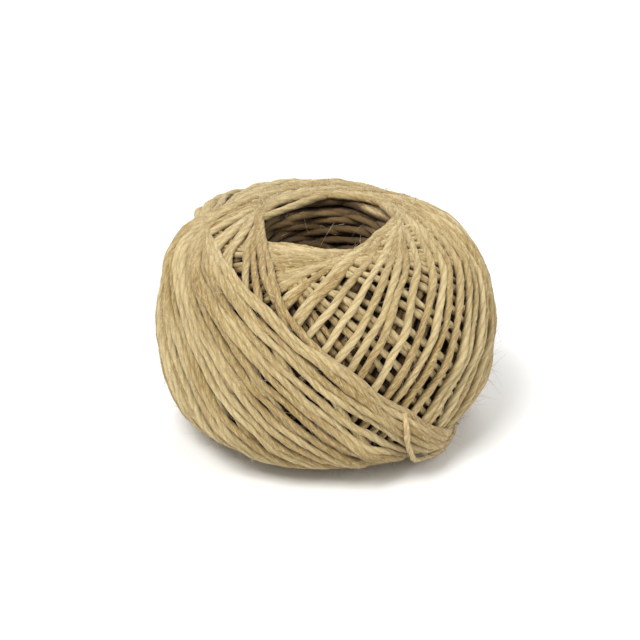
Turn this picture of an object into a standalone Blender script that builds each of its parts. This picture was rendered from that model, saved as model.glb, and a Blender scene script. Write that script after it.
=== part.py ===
"""Ball of jute twine, as it comes off a spindle winder: one wound body and its tucked loose end.

Units are metres and +Z is up. The origin is the middle of the flat spot that the ball rests on,
so the hole that the spindle leaves runs up the Z axis. Run it with
blender --background --python part.py, or from Blender's text editor.
"""
import math

import bmesh
import bpy
from mathutils import Vector
from mathutils.geometry import interpolate_bezier

# Driving dimensions of the wound body.
BALL_RADIUS = 0.0422        # widest, at the waist
HALF_HEIGHT = 0.0298        # waist to the top of the full barrel curve, before the rim cuts it
FULLNESS = 3.0              # 2 is an ellipse, and more gives squarer shoulders
CREST_RADIUS = 0.0205       # ring where the rim is highest
MOUTH_RADIUS = 0.0165       # hole, just inside the rounded rim
THROAT_RADIUS = 0.0135      # hole at mid height
RIM_DEPTH = 0.0050          # height of the rounded rim inside the hole
FLAT_RADIUS = 0.0260        # outer edge of the flat spot underneath

# How finely the body is divided.
TURN_STEPS = 84
SIDE_STEPS = 29
RIM_STEPS = 3
WALL_STEPS = 5

# The main twists of the winding. Each row is a fan of ridges. A ridge lies in a plane through the
# middle of the ball, tilted from level, and the fan turns that plane round the Z axis.
RIDGE_COLUMNS = ("name", "tilt", "first_turn", "last_turn", "ridges", "half_width", "height")
RIDGE_TABLE = (
    ("rim to rim", 58.0, 188.0, 362.0, 10, 0.0038, 0.0011),
    ("slanting belt", 41.0, 14.0, -52.0, 6, 0.0042, 0.0019),
)
FADE_START = 0.0025         # ridges fade out below this height, so the flat spot stays flat
FADE_END = 0.0110

# The loose end, tucked under the slanting belt. It drops over the belly and runs round below it.
END_DIAMETER = 0.0014
END_POINT_SPACING = 2.4     # in diameters
END_BEVEL_RESOLUTION = 2
END_ROUTE = (
    (0.0193, -0.0402, 0.0174),
    (0.0196, -0.0391, 0.0130),
    (0.0207, -0.0361, 0.0085),
    (0.0216, -0.0318, 0.0048),
    (0.0240, -0.0264, 0.0024),
    (0.0274, -0.0212, 0.0012),
    (0.0301, -0.0154, 0.0009),
    (0.0320, -0.0093, 0.0009),
    (0.0331, -0.0030, 0.0009),
)

COLLECTION_NAME = "ball_of_twine"
JUTE_COLOUR = (0.46, 0.34, 0.17, 1.0)
END_COLOUR = (0.52, 0.35, 0.17, 1.0)
JUTE_ROUGHNESS = 0.9


def barrel_radius(elevation):
    """Distance from the middle of the ball to the full barrel curve, at an angle above level."""
    across = math.cos(elevation) / BALL_RADIUS
    up = abs(math.sin(elevation)) / HALF_HEIGHT
    return (across ** FULLNESS + up ** FULLNESS) ** (-1.0 / FULLNESS)


def barrel_height(radius):
    """Height above the waist of the full barrel curve, at a distance from the Z axis."""
    return HALF_HEIGHT * (1.0 - (radius / BALL_RADIUS) ** FULLNESS) ** (1.0 / FULLNESS)


WAIST_HEIGHT = barrel_height(FLAT_RADIUS)
CREST_HEIGHT = WAIST_HEIGHT + barrel_height(CREST_RADIUS)


def side_profile():
    """(radius, height) down the outside, from the crest of the rim to the flat spot's edge."""
    top = math.atan2(barrel_height(CREST_RADIUS), CREST_RADIUS)
    bottom = -math.atan2(barrel_height(FLAT_RADIUS), FLAT_RADIUS)
    points = []
    for step in range(SIDE_STEPS + 1):
        elevation = top + (bottom - top) * step / SIDE_STEPS
        reach = barrel_radius(elevation)
        points.append((reach * math.cos(elevation), WAIST_HEIGHT + reach * math.sin(elevation)))
    return points


def hole_profile():
    """(radius, height) up the hole, from the flat spot's inner edge to just short of the crest."""
    rim_width = CREST_RADIUS - MOUTH_RADIUS
    points = []
    for step in range(RIM_STEPS + 1):
        angle = math.pi / 2 * step / RIM_STEPS
        points.append((CREST_RADIUS - rim_width * math.sin(angle), RIM_DEPTH * (1 - math.cos(angle))))
    wall_height = CREST_HEIGHT - 2 * RIM_DEPTH
    for step in range(1, WALL_STEPS):
        along = step / WALL_STEPS
        narrowing = (MOUTH_RADIUS - THROAT_RADIUS) * math.sin(math.pi * along)
        points.append((MOUTH_RADIUS - narrowing, RIM_DEPTH + wall_height * along))
    for step in range(RIM_STEPS):
        angle = math.pi / 2 * step / RIM_STEPS
        points.append((MOUTH_RADIUS + rim_width * (1 - math.cos(angle)),
                       CREST_HEIGHT - RIM_DEPTH * (1 - math.sin(angle))))
    return points


def smooth_step(low, high, value):
    """0 below low, 1 above high, and a soft curve between them."""
    share = min(max((value - low) / (high - low), 0.0), 1.0)
    return share * share * (3 - 2 * share)


def ridge_planes():
    """(plane normal, half width, height) of every ridge in the table."""
    planes = []
    for row in RIDGE_TABLE:
        fan = dict(zip(RIDGE_COLUMNS, row))
        tilt = math.radians(fan["tilt"])
        for number in range(fan["ridges"]):
            share = number / (fan["ridges"] - 1)
            turn = math.radians(fan["first_turn"] + share * (fan["last_turn"] - fan["first_turn"]))
            normal = Vector((math.sin(tilt) * math.cos(turn), math.sin(tilt) * math.sin(turn),
                             math.cos(tilt)))
            planes.append((normal, fan["half_width"], fan["height"]))
    return planes


def ridge_rise(point, planes):
    """How far the ridges lift a point of the barrel."""
    from_middle = point - Vector((0, 0, WAIST_HEIGHT))
    highest = 0.0
    for normal, half_width, height in planes:
        off_plane = abs(normal.dot(from_middle))
        if off_plane < half_width:
            highest = max(highest, height * (1 + math.cos(math.pi * off_plane / half_width)) / 2)
    in_the_hole = smooth_step(MOUTH_RADIUS, CREST_RADIUS, math.hypot(point.x, point.y))
    return highest * in_the_hole * smooth_step(FADE_START, FADE_END, point.z)


def make_material(name, colour, roughness):
    """A plain matt material."""
    material = bpy.data.materials.new(name)
    material.use_nodes = True
    shader = material.node_tree.nodes["Principled BSDF"]
    shader.inputs["Base Color"].default_value = colour
    shader.inputs["Roughness"].default_value = roughness
    shader.inputs["Metallic"].default_value = 0.0
    material.diffuse_color = colour
    return material


def turned_mesh(name, profile):
    """The mesh of a closed (radius, height) profile turned once round the Z axis."""
    outline = bpy.data.meshes.new(name + "_profile")
    shape = bmesh.new()
    corners = [shape.verts.new((radius, 0, height)) for radius, height in profile]
    for first, second in zip(corners, corners[1:] + corners[:1]):
        shape.edges.new((first, second))
    shape.to_mesh(outline)
    shape.free()
    guide = bpy.data.objects.new(name + "_profile", outline)
    bpy.context.scene.collection.objects.link(guide)
    turning = guide.modifiers.new("turn", "SCREW")
    turning.axis = "Z"
    turning.angle = 2 * math.pi
    turning.steps = TURN_STEPS
    turning.render_steps = TURN_STEPS
    turning.use_merge_vertices = True
    turning.merge_threshold = 0.0001
    evaluated = guide.evaluated_get(bpy.context.evaluated_depsgraph_get())
    mesh = bpy.data.meshes.new_from_object(evaluated)
    bpy.data.objects.remove(guide)
    bpy.data.meshes.remove(outline)
    mesh.name = name
    return mesh


def make_ball(collection):
    """The wound body: a barrel with a through hole, and the main twists as ridges."""
    mesh = turned_mesh("ball", side_profile() + hole_profile())
    planes = ridge_planes()
    shape = bmesh.new()
    shape.from_mesh(mesh)
    shape.normal_update()
    lifts = [vertex.normal * ridge_rise(vertex.co, planes) for vertex in shape.verts]
    for vertex, lift in zip(shape.verts, lifts):
        vertex.co += lift
    shape.to_mesh(mesh)
    shape.free()
    mesh.shade_smooth()
    mesh.materials.clear()
    mesh.materials.append(make_material("jute", JUTE_COLOUR, JUTE_ROUGHNESS))
    ball = bpy.data.objects.new("ball", mesh)
    collection.objects.link(ball)
    return ball


def smooth_route(route, spacing):
    """Points about a spacing apart on one smooth curve through the route's points."""
    knots = [Vector(point) for point in route]
    fine = [knots[0]]
    for index in range(len(knots) - 1):
        before = knots[max(index - 1, 0)]
        start = knots[index]
        end = knots[index + 1]
        after = knots[min(index + 2, len(knots) - 1)]
        handle = start + (end - before) / 6
        other = end - (after - start) / 6
        fine += interpolate_bezier(start, handle, other, end, 17)[1:]
    lengths = [0.0]
    for first, second in zip(fine, fine[1:]):
        lengths.append(lengths[-1] + (second - first).length)
    count = max(round(lengths[-1] / spacing), 2)
    points = []
    index = 0
    for step in range(count + 1):
        wanted = lengths[-1] * step / count
        while index < len(fine) - 2 and lengths[index + 1] < wanted:
            index += 1
        share = (wanted - lengths[index]) / (lengths[index + 1] - lengths[index])
        points.append(fine[index].lerp(fine[index + 1], share))
    return points


def make_loose_end(collection):
    """The free end of the twine, a plain tube along its route."""
    curve = bpy.data.curves.new("loose_end", "CURVE")
    curve.dimensions = "3D"
    curve.bevel_depth = END_DIAMETER / 2
    curve.bevel_resolution = END_BEVEL_RESOLUTION
    curve.use_fill_caps = True
    points = smooth_route(END_ROUTE, END_POINT_SPACING * END_DIAMETER)
    spline = curve.splines.new("POLY")
    spline.points.add(len(points) - 1)
    for knot, point in zip(spline.points, points):
        knot.co = (*point, 1.0)
    curve.materials.append(make_material("jute_end", END_COLOUR, JUTE_ROUGHNESS))
    loose_end = bpy.data.objects.new("loose_end", curve)
    collection.objects.link(loose_end)
    return loose_end


def main():
    """Clears the scene and builds the ball and its loose end."""
    for leftover in list(bpy.data.objects):
        bpy.data.objects.remove(leftover)
    collection = bpy.data.collections.new(COLLECTION_NAME)
    bpy.context.scene.collection.children.link(collection)
    make_ball(collection)
    make_loose_end(collection)


main()
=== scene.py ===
"""Looks of a ball of jute twine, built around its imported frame.

The twine is wound here much as a spindle winder does it. The ball turns while the arm lays one
strand round it, each turn in a plane tilted past the core hole, and each strand comes to rest on
the ones below. A slanting belt of turns finishes the ball, and the free end hangs out below it.
Sizes are in metres and +Z is up. The middle of the ball is the point that the turns go round.
"""

import logging
import math
from dataclasses import dataclass, field
from enum import Enum

import bmesh
import bpy
import numpy as np
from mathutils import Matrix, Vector


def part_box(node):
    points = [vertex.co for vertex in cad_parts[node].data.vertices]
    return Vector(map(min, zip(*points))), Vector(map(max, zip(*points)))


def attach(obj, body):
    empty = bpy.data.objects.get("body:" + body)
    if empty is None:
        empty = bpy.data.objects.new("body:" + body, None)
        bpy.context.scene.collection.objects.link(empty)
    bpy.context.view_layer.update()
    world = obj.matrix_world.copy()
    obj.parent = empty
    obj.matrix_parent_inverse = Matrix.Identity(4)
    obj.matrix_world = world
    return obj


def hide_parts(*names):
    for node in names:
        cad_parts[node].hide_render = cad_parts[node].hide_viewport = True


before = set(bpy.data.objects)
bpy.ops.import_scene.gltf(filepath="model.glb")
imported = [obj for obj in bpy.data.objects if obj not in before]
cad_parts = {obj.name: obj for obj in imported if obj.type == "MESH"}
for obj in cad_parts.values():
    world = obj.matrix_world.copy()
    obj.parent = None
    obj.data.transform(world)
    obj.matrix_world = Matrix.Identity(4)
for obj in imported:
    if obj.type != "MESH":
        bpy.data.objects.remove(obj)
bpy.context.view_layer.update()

BODY = "root"
BALL_NODE = "ball"
END_NODE = "loose_end"
MILLIMETRE = 0.001
LEAST_HEIGHT = 0.0002       # of a loose fibre above the floor
SETTLED_HEIGHT = 0.0034     # strands below this are pressed flat by the ball's weight
END_STRAW = (0.60, 0.43, 0.21, 1.0)     # the free end has weathered to a warmer colour

log = logging.getLogger("ball_of_twine")


class Slot(Enum):
    """The record's material slots."""

    TWINE = "jute_twine"
    END = "jute_twine_end"


class Lay(Enum):
    """Which way the plies of a strand twist."""

    LEFT = -1.0
    RIGHT = 1.0


# ---------------------------------------------------------------------------------------------
# Small helpers


@dataclass
class Wander:
    """Slow, smooth unevenness along a length, as a few sine waves with random phases.

    Attributes:
        rng: source of the random phases.
        wavelength: usual distance from one swell to the next.
        swing: usual size of a swell.
        waves: how many sine waves are mixed.
    """

    rng: np.random.Generator
    wavelength: float
    swing: float
    waves: int = 7

    SHORTEST, LONGEST = 0.55, 1.9       # wavelengths of the sine waves, as shares of the usual one

    def at(self, distance: np.ndarray) -> np.ndarray:
        """Works out the unevenness at each distance.

        Args:
            distance: places along the length.

        Returns:
            The offset at each place, about swing in size.
        """
        total = np.zeros(len(distance))
        for _ in range(self.waves):
            length = self.wavelength * self.rng.uniform(self.SHORTEST, self.LONGEST)
            total += np.sin(2 * np.pi * (distance / length + self.rng.uniform()))
        return total * self.swing * math.sqrt(2 / self.waves)


def soften(values: np.ndarray, window: int) -> np.ndarray:
    """Averages a row of values with its neighbours.

    Args:
        values: numbers along a length.
        window: how many neighbours share an average.

    Returns:
        The softened row, as long as the first.
    """
    reach = window // 2
    padded = np.concatenate([np.full(reach, values[0]), values, np.full(reach, values[-1])])
    return np.convolve(padded, np.full(2 * reach + 1, 1 / (2 * reach + 1)), "valid")


def unit(vectors: np.ndarray) -> np.ndarray:
    """Scales each vector of a list to length 1."""
    return vectors / np.linalg.norm(vectors, axis=-1, keepdims=True)


def smooth_step(low: float, high: float, values: np.ndarray) -> np.ndarray:
    """Rises softly from 0 to 1.

    Args:
        low: value below which the result is 0.
        high: value above which it is 1.
        values: the values to grade.

    Returns:
        A number from 0 to 1 for each value.
    """
    share = np.clip((values - low) / (high - low), 0.0, 1.0)
    return share * share * (3 - 2 * share)


def add_object(name: str, data: bpy.types.ID) -> bpy.types.Object:
    """Puts something into the scene.

    Args:
        name: the object's name.
        data: its mesh, light or camera.

    Returns:
        The object, at the origin.
    """
    thing = bpy.data.objects.new(name, data)
    bpy.context.scene.collection.objects.link(thing)
    return thing


def length_along(points: np.ndarray) -> np.ndarray:
    """Measures a line of points.

    Args:
        points: the points, in order.

    Returns:
        The distance along the line to each point.
    """
    steps = np.linalg.norm(np.diff(points, axis=0), axis=1)
    return np.concatenate([[0.0], np.cumsum(steps)])


class NodeBench:
    """Short ways to add and join the nodes of one material or node group."""

    FIRST_COLOUR, SECOND_COLOUR, MIXED_COLOUR = 6, 7, 2     # a Mix node's colour sockets

    def __init__(self, tree: bpy.types.NodeTree) -> None:
        """Works on a node tree."""
        self.tree = tree

    def add(self, kind: str, **settings: object) -> bpy.types.Node:
        """Adds a node.

        Args:
            kind: the node's type.
            settings: its properties.

        Returns:
            The node.
        """
        node = self.tree.nodes.new(kind)
        for name, value in settings.items():
            setattr(node, name, value)
        return node

    def feed(self, socket: bpy.types.NodeSocket, value: object) -> None:
        """Joins a socket to another, or sets its number or colour.

        Args:
            socket: the socket to feed.
            value: another node's output, or a plain value.
        """
        if isinstance(value, bpy.types.NodeSocket):
            self.tree.links.new(value, socket)
        else:
            socket.default_value = value

    def maths(self, operation: str, *values: object) -> bpy.types.NodeSocket:
        """Adds one calculation.

        Args:
            operation: what is calculated.
            values: sockets or numbers that it works on.

        Returns:
            Its result.
        """
        node = self.add("ShaderNodeMath", operation=operation)
        for socket, value in zip(node.inputs, values):
            self.feed(socket, value)
        return node.outputs[0]

    def span(self, value: object, low: float, high: float, new_low: float = 0.0,
             new_high: float = 1.0) -> bpy.types.NodeSocket:
        """Carries a value softly from one range to another.

        Args:
            value: the socket to carry over.
            low: start of its range.
            high: end of its range.
            new_low: start of the new range.
            new_high: end of the new range.

        Returns:
            The carried value.
        """
        node = self.add("ShaderNodeMapRange", interpolation_type="SMOOTHSTEP")
        for name, given in (("Value", value), ("From Min", low), ("From Max", high),
                            ("To Min", new_low), ("To Max", new_high)):
            self.feed(node.inputs[name], given)
        return node.outputs["Result"]

    def blend(self, share: object, first: object, second: object) -> bpy.types.NodeSocket:
        """Mixes two colours.

        Args:
            share: how much of the second there is.
            first: one colour.
            second: the other colour.

        Returns:
            The mixed colour.
        """
        node = self.add("ShaderNodeMix", data_type="RGBA")
        self.feed(node.inputs[0], share)
        self.feed(node.inputs[self.FIRST_COLOUR], first)
        self.feed(node.inputs[self.SECOND_COLOUR], second)
        return node.outputs[self.MIXED_COLOUR]

    def attribute(self, name: str) -> bpy.types.Node:
        """A reader of one of the piece's own attributes."""
        return self.add("ShaderNodeAttribute", attribute_type="GEOMETRY", attribute_name=name)


# ---------------------------------------------------------------------------------------------
# The form that the twine is wound to


@dataclass(frozen=True)
class Barrel:
    """The wound form, a full-shouldered barrel round the Z axis.

    Attributes:
        waist_radius: radius at the widest place.
        half_height: waist to the top of the full barrel curve.
        waist_height: height of the waist above the floor.
        crest_height: height of the rim's crest above the floor.
        fullness: 2 is an ellipse, and more gives squarer shoulders.
    """

    waist_radius: float
    half_height: float
    waist_height: float
    crest_height: float
    fullness: float = 3.0

    CREST_SHARE = 0.475     # radius of the rim's crest over the waist's radius
    WAIST_SHARE = 0.4786    # height of the waist over the whole height, low for the flat spot
    RIDGE = 0.0011          # how far single strands stand above the crest

    @classmethod
    def from_frame(cls) -> "Barrel":
        """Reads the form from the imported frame.

        Returns:
            The barrel that fills the ball's box.
        """
        low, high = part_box(BALL_NODE)
        radius = (high.x - low.x) / 2
        waist = low.z + (high.z - low.z) * cls.WAIST_SHARE
        crest = high.z - cls.RIDGE
        cut = (1 - cls.CREST_SHARE ** cls.fullness) ** (1 / cls.fullness)
        return cls(radius, (crest - waist) / cut, waist, crest)

    @property
    def middle(self) -> np.ndarray:
        """The point that every turn goes round."""
        return np.array([0.0, 0.0, self.waist_height])

    def reach(self, elevation: np.ndarray) -> np.ndarray:
        """Works out how far the barrel's surface is from the middle.

        Args:
            elevation: angles above level.

        Returns:
            The distance at each angle.
        """
        across = np.cos(elevation) / self.waist_radius
        up = np.abs(np.sin(elevation)) / self.half_height
        return (across ** self.fullness + up ** self.fullness) ** (-1 / self.fullness)


@dataclass
class Run:
    """A stretch of twine.

    Attributes:
        points: its centre line.
        girth: its radius at each point.
        along: distance from the start of the twine to each point.
        tone: how much darker or lighter than usual it is at each point.
    """

    points: np.ndarray
    girth: np.ndarray
    along: np.ndarray
    tone: np.ndarray

    def part(self, start: int, stop: int) -> "Run":
        """The stretch from one point to another."""
        cut = slice(start, stop)
        return Run(self.points[cut], self.girth[cut], self.along[cut], self.tone[cut])

    def spaced(self, spacing: float) -> "Run":
        """The same stretch with its points a given distance apart.

        Args:
            spacing: wanted distance between points.

        Returns:
            A new run that ends at the same two points.
        """
        travelled = length_along(self.points)
        count = max(int(round(travelled[-1] / spacing)), 2) + 1
        wanted = np.linspace(0.0, travelled[-1], count)
        points = np.stack([np.interp(wanted, travelled, axis) for axis in self.points.T], axis=1)
        girth = np.interp(wanted, travelled, self.girth)
        along = np.interp(wanted, travelled, self.along)
        return Run(points, girth, along, np.interp(wanted, travelled, self.tone))


@dataclass(frozen=True)
class Twine:
    """The twine itself.

    Attributes:
        radius: half its usual thickness.
        contact: distance between the centres of two strands where they cross and squash.
        ply_pitch: length in which a ply goes once round.
        lay: which way the plies twist.
        thick_and_thin: how uneven its radius is, as a share.
    """

    radius: float = 0.00094
    contact: float = 0.00142
    ply_pitch: float = 0.0150
    lay: Lay = Lay.RIGHT
    thick_and_thin: float = 0.07

    SLOW_WAVELENGTH, QUICK_WAVELENGTH = 0.030, 0.006
    QUICK_SHARE = 0.45
    THINNEST, THICKEST = 0.72, 1.3

    def uneven_girth(self, along: np.ndarray, rng: np.random.Generator) -> np.ndarray:
        """Works out the radius at each place along the twine.

        Args:
            along: distance along the twine.
            rng: source of the unevenness.

        Returns:
            The radius at each place.
        """
        slow = Wander(rng, self.SLOW_WAVELENGTH, self.thick_and_thin).at(along)
        quick = Wander(rng, self.QUICK_WAVELENGTH, self.thick_and_thin * self.QUICK_SHARE).at(along)
        return self.radius * np.clip(1 + slow + quick, self.THINNEST, self.THICKEST)

    def twist(self, along: np.ndarray) -> np.ndarray:
        """The angle that the plies have turned by at each place."""
        return 2 * np.pi * along / self.ply_pitch * self.lay.value


# ---------------------------------------------------------------------------------------------
# Winding


class LayingGround:
    """How high a strand comes to rest on the ball so far, in every direction from its middle.

    Where many strands meet round the rims, they squeeze together.
    """

    CELL = math.radians(0.75)
    HIGHEST = math.radians(72.0)
    ROWS = 193
    NEAREST = 0.030         # least distance of a strand from the middle
    CROWDED = (math.radians(36.0), math.radians(55.0))
    CROWDED_SQUEEZE = 0.72

    def __init__(self, barrel: Barrel, sunk: np.ndarray, twine: Twine) -> None:
        """Starts from a bare barrel below the finished surface.

        Args:
            barrel: the finished form.
            sunk: how far the bare barrel lies inside it, for each row from bottom to top.
            twine: the twine that is laid.
        """
        self.twine = twine
        self.columns = int(round(2 * math.pi / self.CELL))
        self.elevations = np.linspace(-self.HIGHEST, self.HIGHEST, self.ROWS)
        azimuth = np.arange(self.columns) * 2 * np.pi / self.columns
        level = np.cos(self.elevations)[:, None]
        upright = np.repeat(np.sin(self.elevations)[:, None], self.columns, 1)
        outward = (level * np.cos(azimuth), level * np.sin(azimuth), upright)
        self.directions = np.stack(outward, axis=2)
        bare = np.repeat((barrel.reach(self.elevations) - sunk)[:, None], self.columns, 1)
        self.top = bare.copy()
        self.rest = bare + twine.radius
        crowded = smooth_step(*self.CROWDED, np.abs(self.elevations))
        self.contacts = twine.contact * (1 - self.CROWDED_SQUEEZE * crowded)

    def cells(self, directions: np.ndarray) -> tuple[np.ndarray, np.ndarray]:
        """Finds the cell of each direction.

        Args:
            directions: vectors from the middle, of any length.

        Returns:
            Rows and columns, with fractions.
        """
        level = np.hypot(directions[:, 0], directions[:, 1])
        elevation = np.arctan2(directions[:, 2], level)
        azimuth = np.arctan2(directions[:, 1], directions[:, 0])
        row = (elevation + self.HIGHEST) / (2 * self.HIGHEST) * (self.ROWS - 1)
        column = (azimuth % (2 * np.pi)) / (2 * np.pi) * self.columns
        return np.clip(row, 0, self.ROWS - 1.001), column

    def read(self, heights: np.ndarray, directions: np.ndarray) -> np.ndarray:
        """Reads a map of heights between its cells.

        Args:
            heights: a map such as rest or top.
            directions: vectors from the middle.

        Returns:
            The height in each direction.
        """
        row, column = self.cells(directions)
        low_row = np.floor(row).astype(int)
        low_column = np.floor(column).astype(int)
        up = row - low_row
        right = column - low_column
        low_column %= self.columns
        next_column = (low_column + 1) % self.columns
        below = heights[low_row, low_column] * (1 - right) + heights[low_row, next_column] * right
        above = (heights[low_row + 1, low_column] * (1 - right)
                 + heights[low_row + 1, next_column] * right)
        return below * (1 - up) + above * up

    def press(self, centres: np.ndarray) -> None:
        """Lays a strand, which raises the ground for the next one.

        Args:
            centres: points of its centre line, from the middle of the ball.
        """
        contact = self.twine.contact
        radius = self.twine.radius
        row, column = self.cells(centres)
        spread = int(math.ceil(contact / self.NEAREST / self.CELL))
        wide = 2 * spread
        near_rows = np.arange(-spread, spread + 1)[None, :, None]
        near_columns = np.arange(-wide, wide + 1)[None, None, :]
        rows = np.clip(np.rint(row).astype(int)[:, None, None] + near_rows, 0, self.ROWS - 1)
        columns = (np.rint(column).astype(int)[:, None, None] + near_columns) % self.columns
        rows, columns = np.broadcast_arrays(rows, columns)
        along = np.einsum("nrck,nk->nrc", self.directions[rows, columns], centres)
        aside = (centres ** 2).sum(1)[:, None, None] - along ** 2
        close = np.broadcast_to(self.contacts[rows] ** 2, aside.shape)
        near = aside < close
        lift = along[near] + np.sqrt(close[near] - aside[near])
        np.maximum.at(self.rest, (rows[near], columns[near]), lift)
        body = aside < radius ** 2
        crown = along[body] + np.sqrt(radius ** 2 - aside[body])
        np.maximum.at(self.top, (rows[body], columns[body]), crown)

    def blurred_top(self, rounds: int) -> np.ndarray:
        """The top of the ball with its strands and gaps evened out.

        Args:
            rounds: how often each cell is averaged with its neighbours.

        Returns:
            A map of heights.
        """
        heights = self.top.copy()
        for _ in range(rounds):
            heights = (np.roll(heights, 1, 1) + 2 * heights + np.roll(heights, -1, 1)) / 4
            padded = np.pad(heights, ((1, 1), (0, 0)), "edge")
            heights = (padded[:-2] + 2 * heights + padded[2:]) / 4
        return heights


@dataclass(frozen=True)
class Sweep:
    """One sweep of the winder's arm.

    Attributes:
        name: what the maker would call it.
        stations: rows of how many turns are wound, which way the plane of a turn faces and how
            far it is tilted from level, in degrees. Between stations the values change evenly.
    """

    name: str
    stations: tuple[tuple[float, float, float], ...]

    @property
    def turns(self) -> float:
        """How many turns the sweep winds."""
        return self.stations[-1][0]

    def planes(self, wound: np.ndarray) -> tuple[np.ndarray, np.ndarray]:
        """Works out the plane of the arm's path.

        Args:
            wound: how many turns of this sweep are wound, at each place.

        Returns:
            Which way the plane faces and its tilt, in radians, at each place.
        """
        station, turn, tilt = np.array(self.stations).T
        turn = np.interp(wound, station, turn)
        tilt = np.interp(wound, station, tilt)
        return np.radians(turn), np.radians(tilt)


UNDER_SWEEP = Sweep("under_turns", (
    (0.0, -212.0, 58.0),
    (6.0, -176.0, 47.0),
    (12.0, -140.0, 58.0),
    (18.0, -104.0, 46.0),
    (24.0, -68.0, 58.0),
    (30.0, -32.0, 46.0),
    (36.0, 4.0, 58.0),
    (42.0, 40.0, 46.0),
    (48.0, 76.0, 58.0),
    (54.0, 111.0, 49.0),
    (60.0, 146.0, 59.0),
))
OUTER_SWEEP = Sweep("outer_turns", (
    (0.0, 146.0, 59.0),
    (2.0, 156.0, 60.0),
    (5.0, 175.0, 56.0),
    (8.0, 195.0, 56.5),
    (12.0, 221.0, 53.5),
    (19.0, 264.0, 57.0),
    (27.75, 311.0, 59.0),
    (28.25, 315.0, 67.0),
    (28.75, 318.0, 59.5),
    (37.425, 364.6, 59.5),
))
BELT_SWEEP = Sweep("belt_turns", (
    (0.0, 376.0, 41.0),
    (1.0, 374.5, 41.5),
    (3.0, 366.0, 40.0),
    (7.0, 349.0, 42.0),
    (11.0, 331.0, 44.0),
    (15.0, 312.0, 49.0),
    (17.0, 303.0, 51.0),
))


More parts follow.
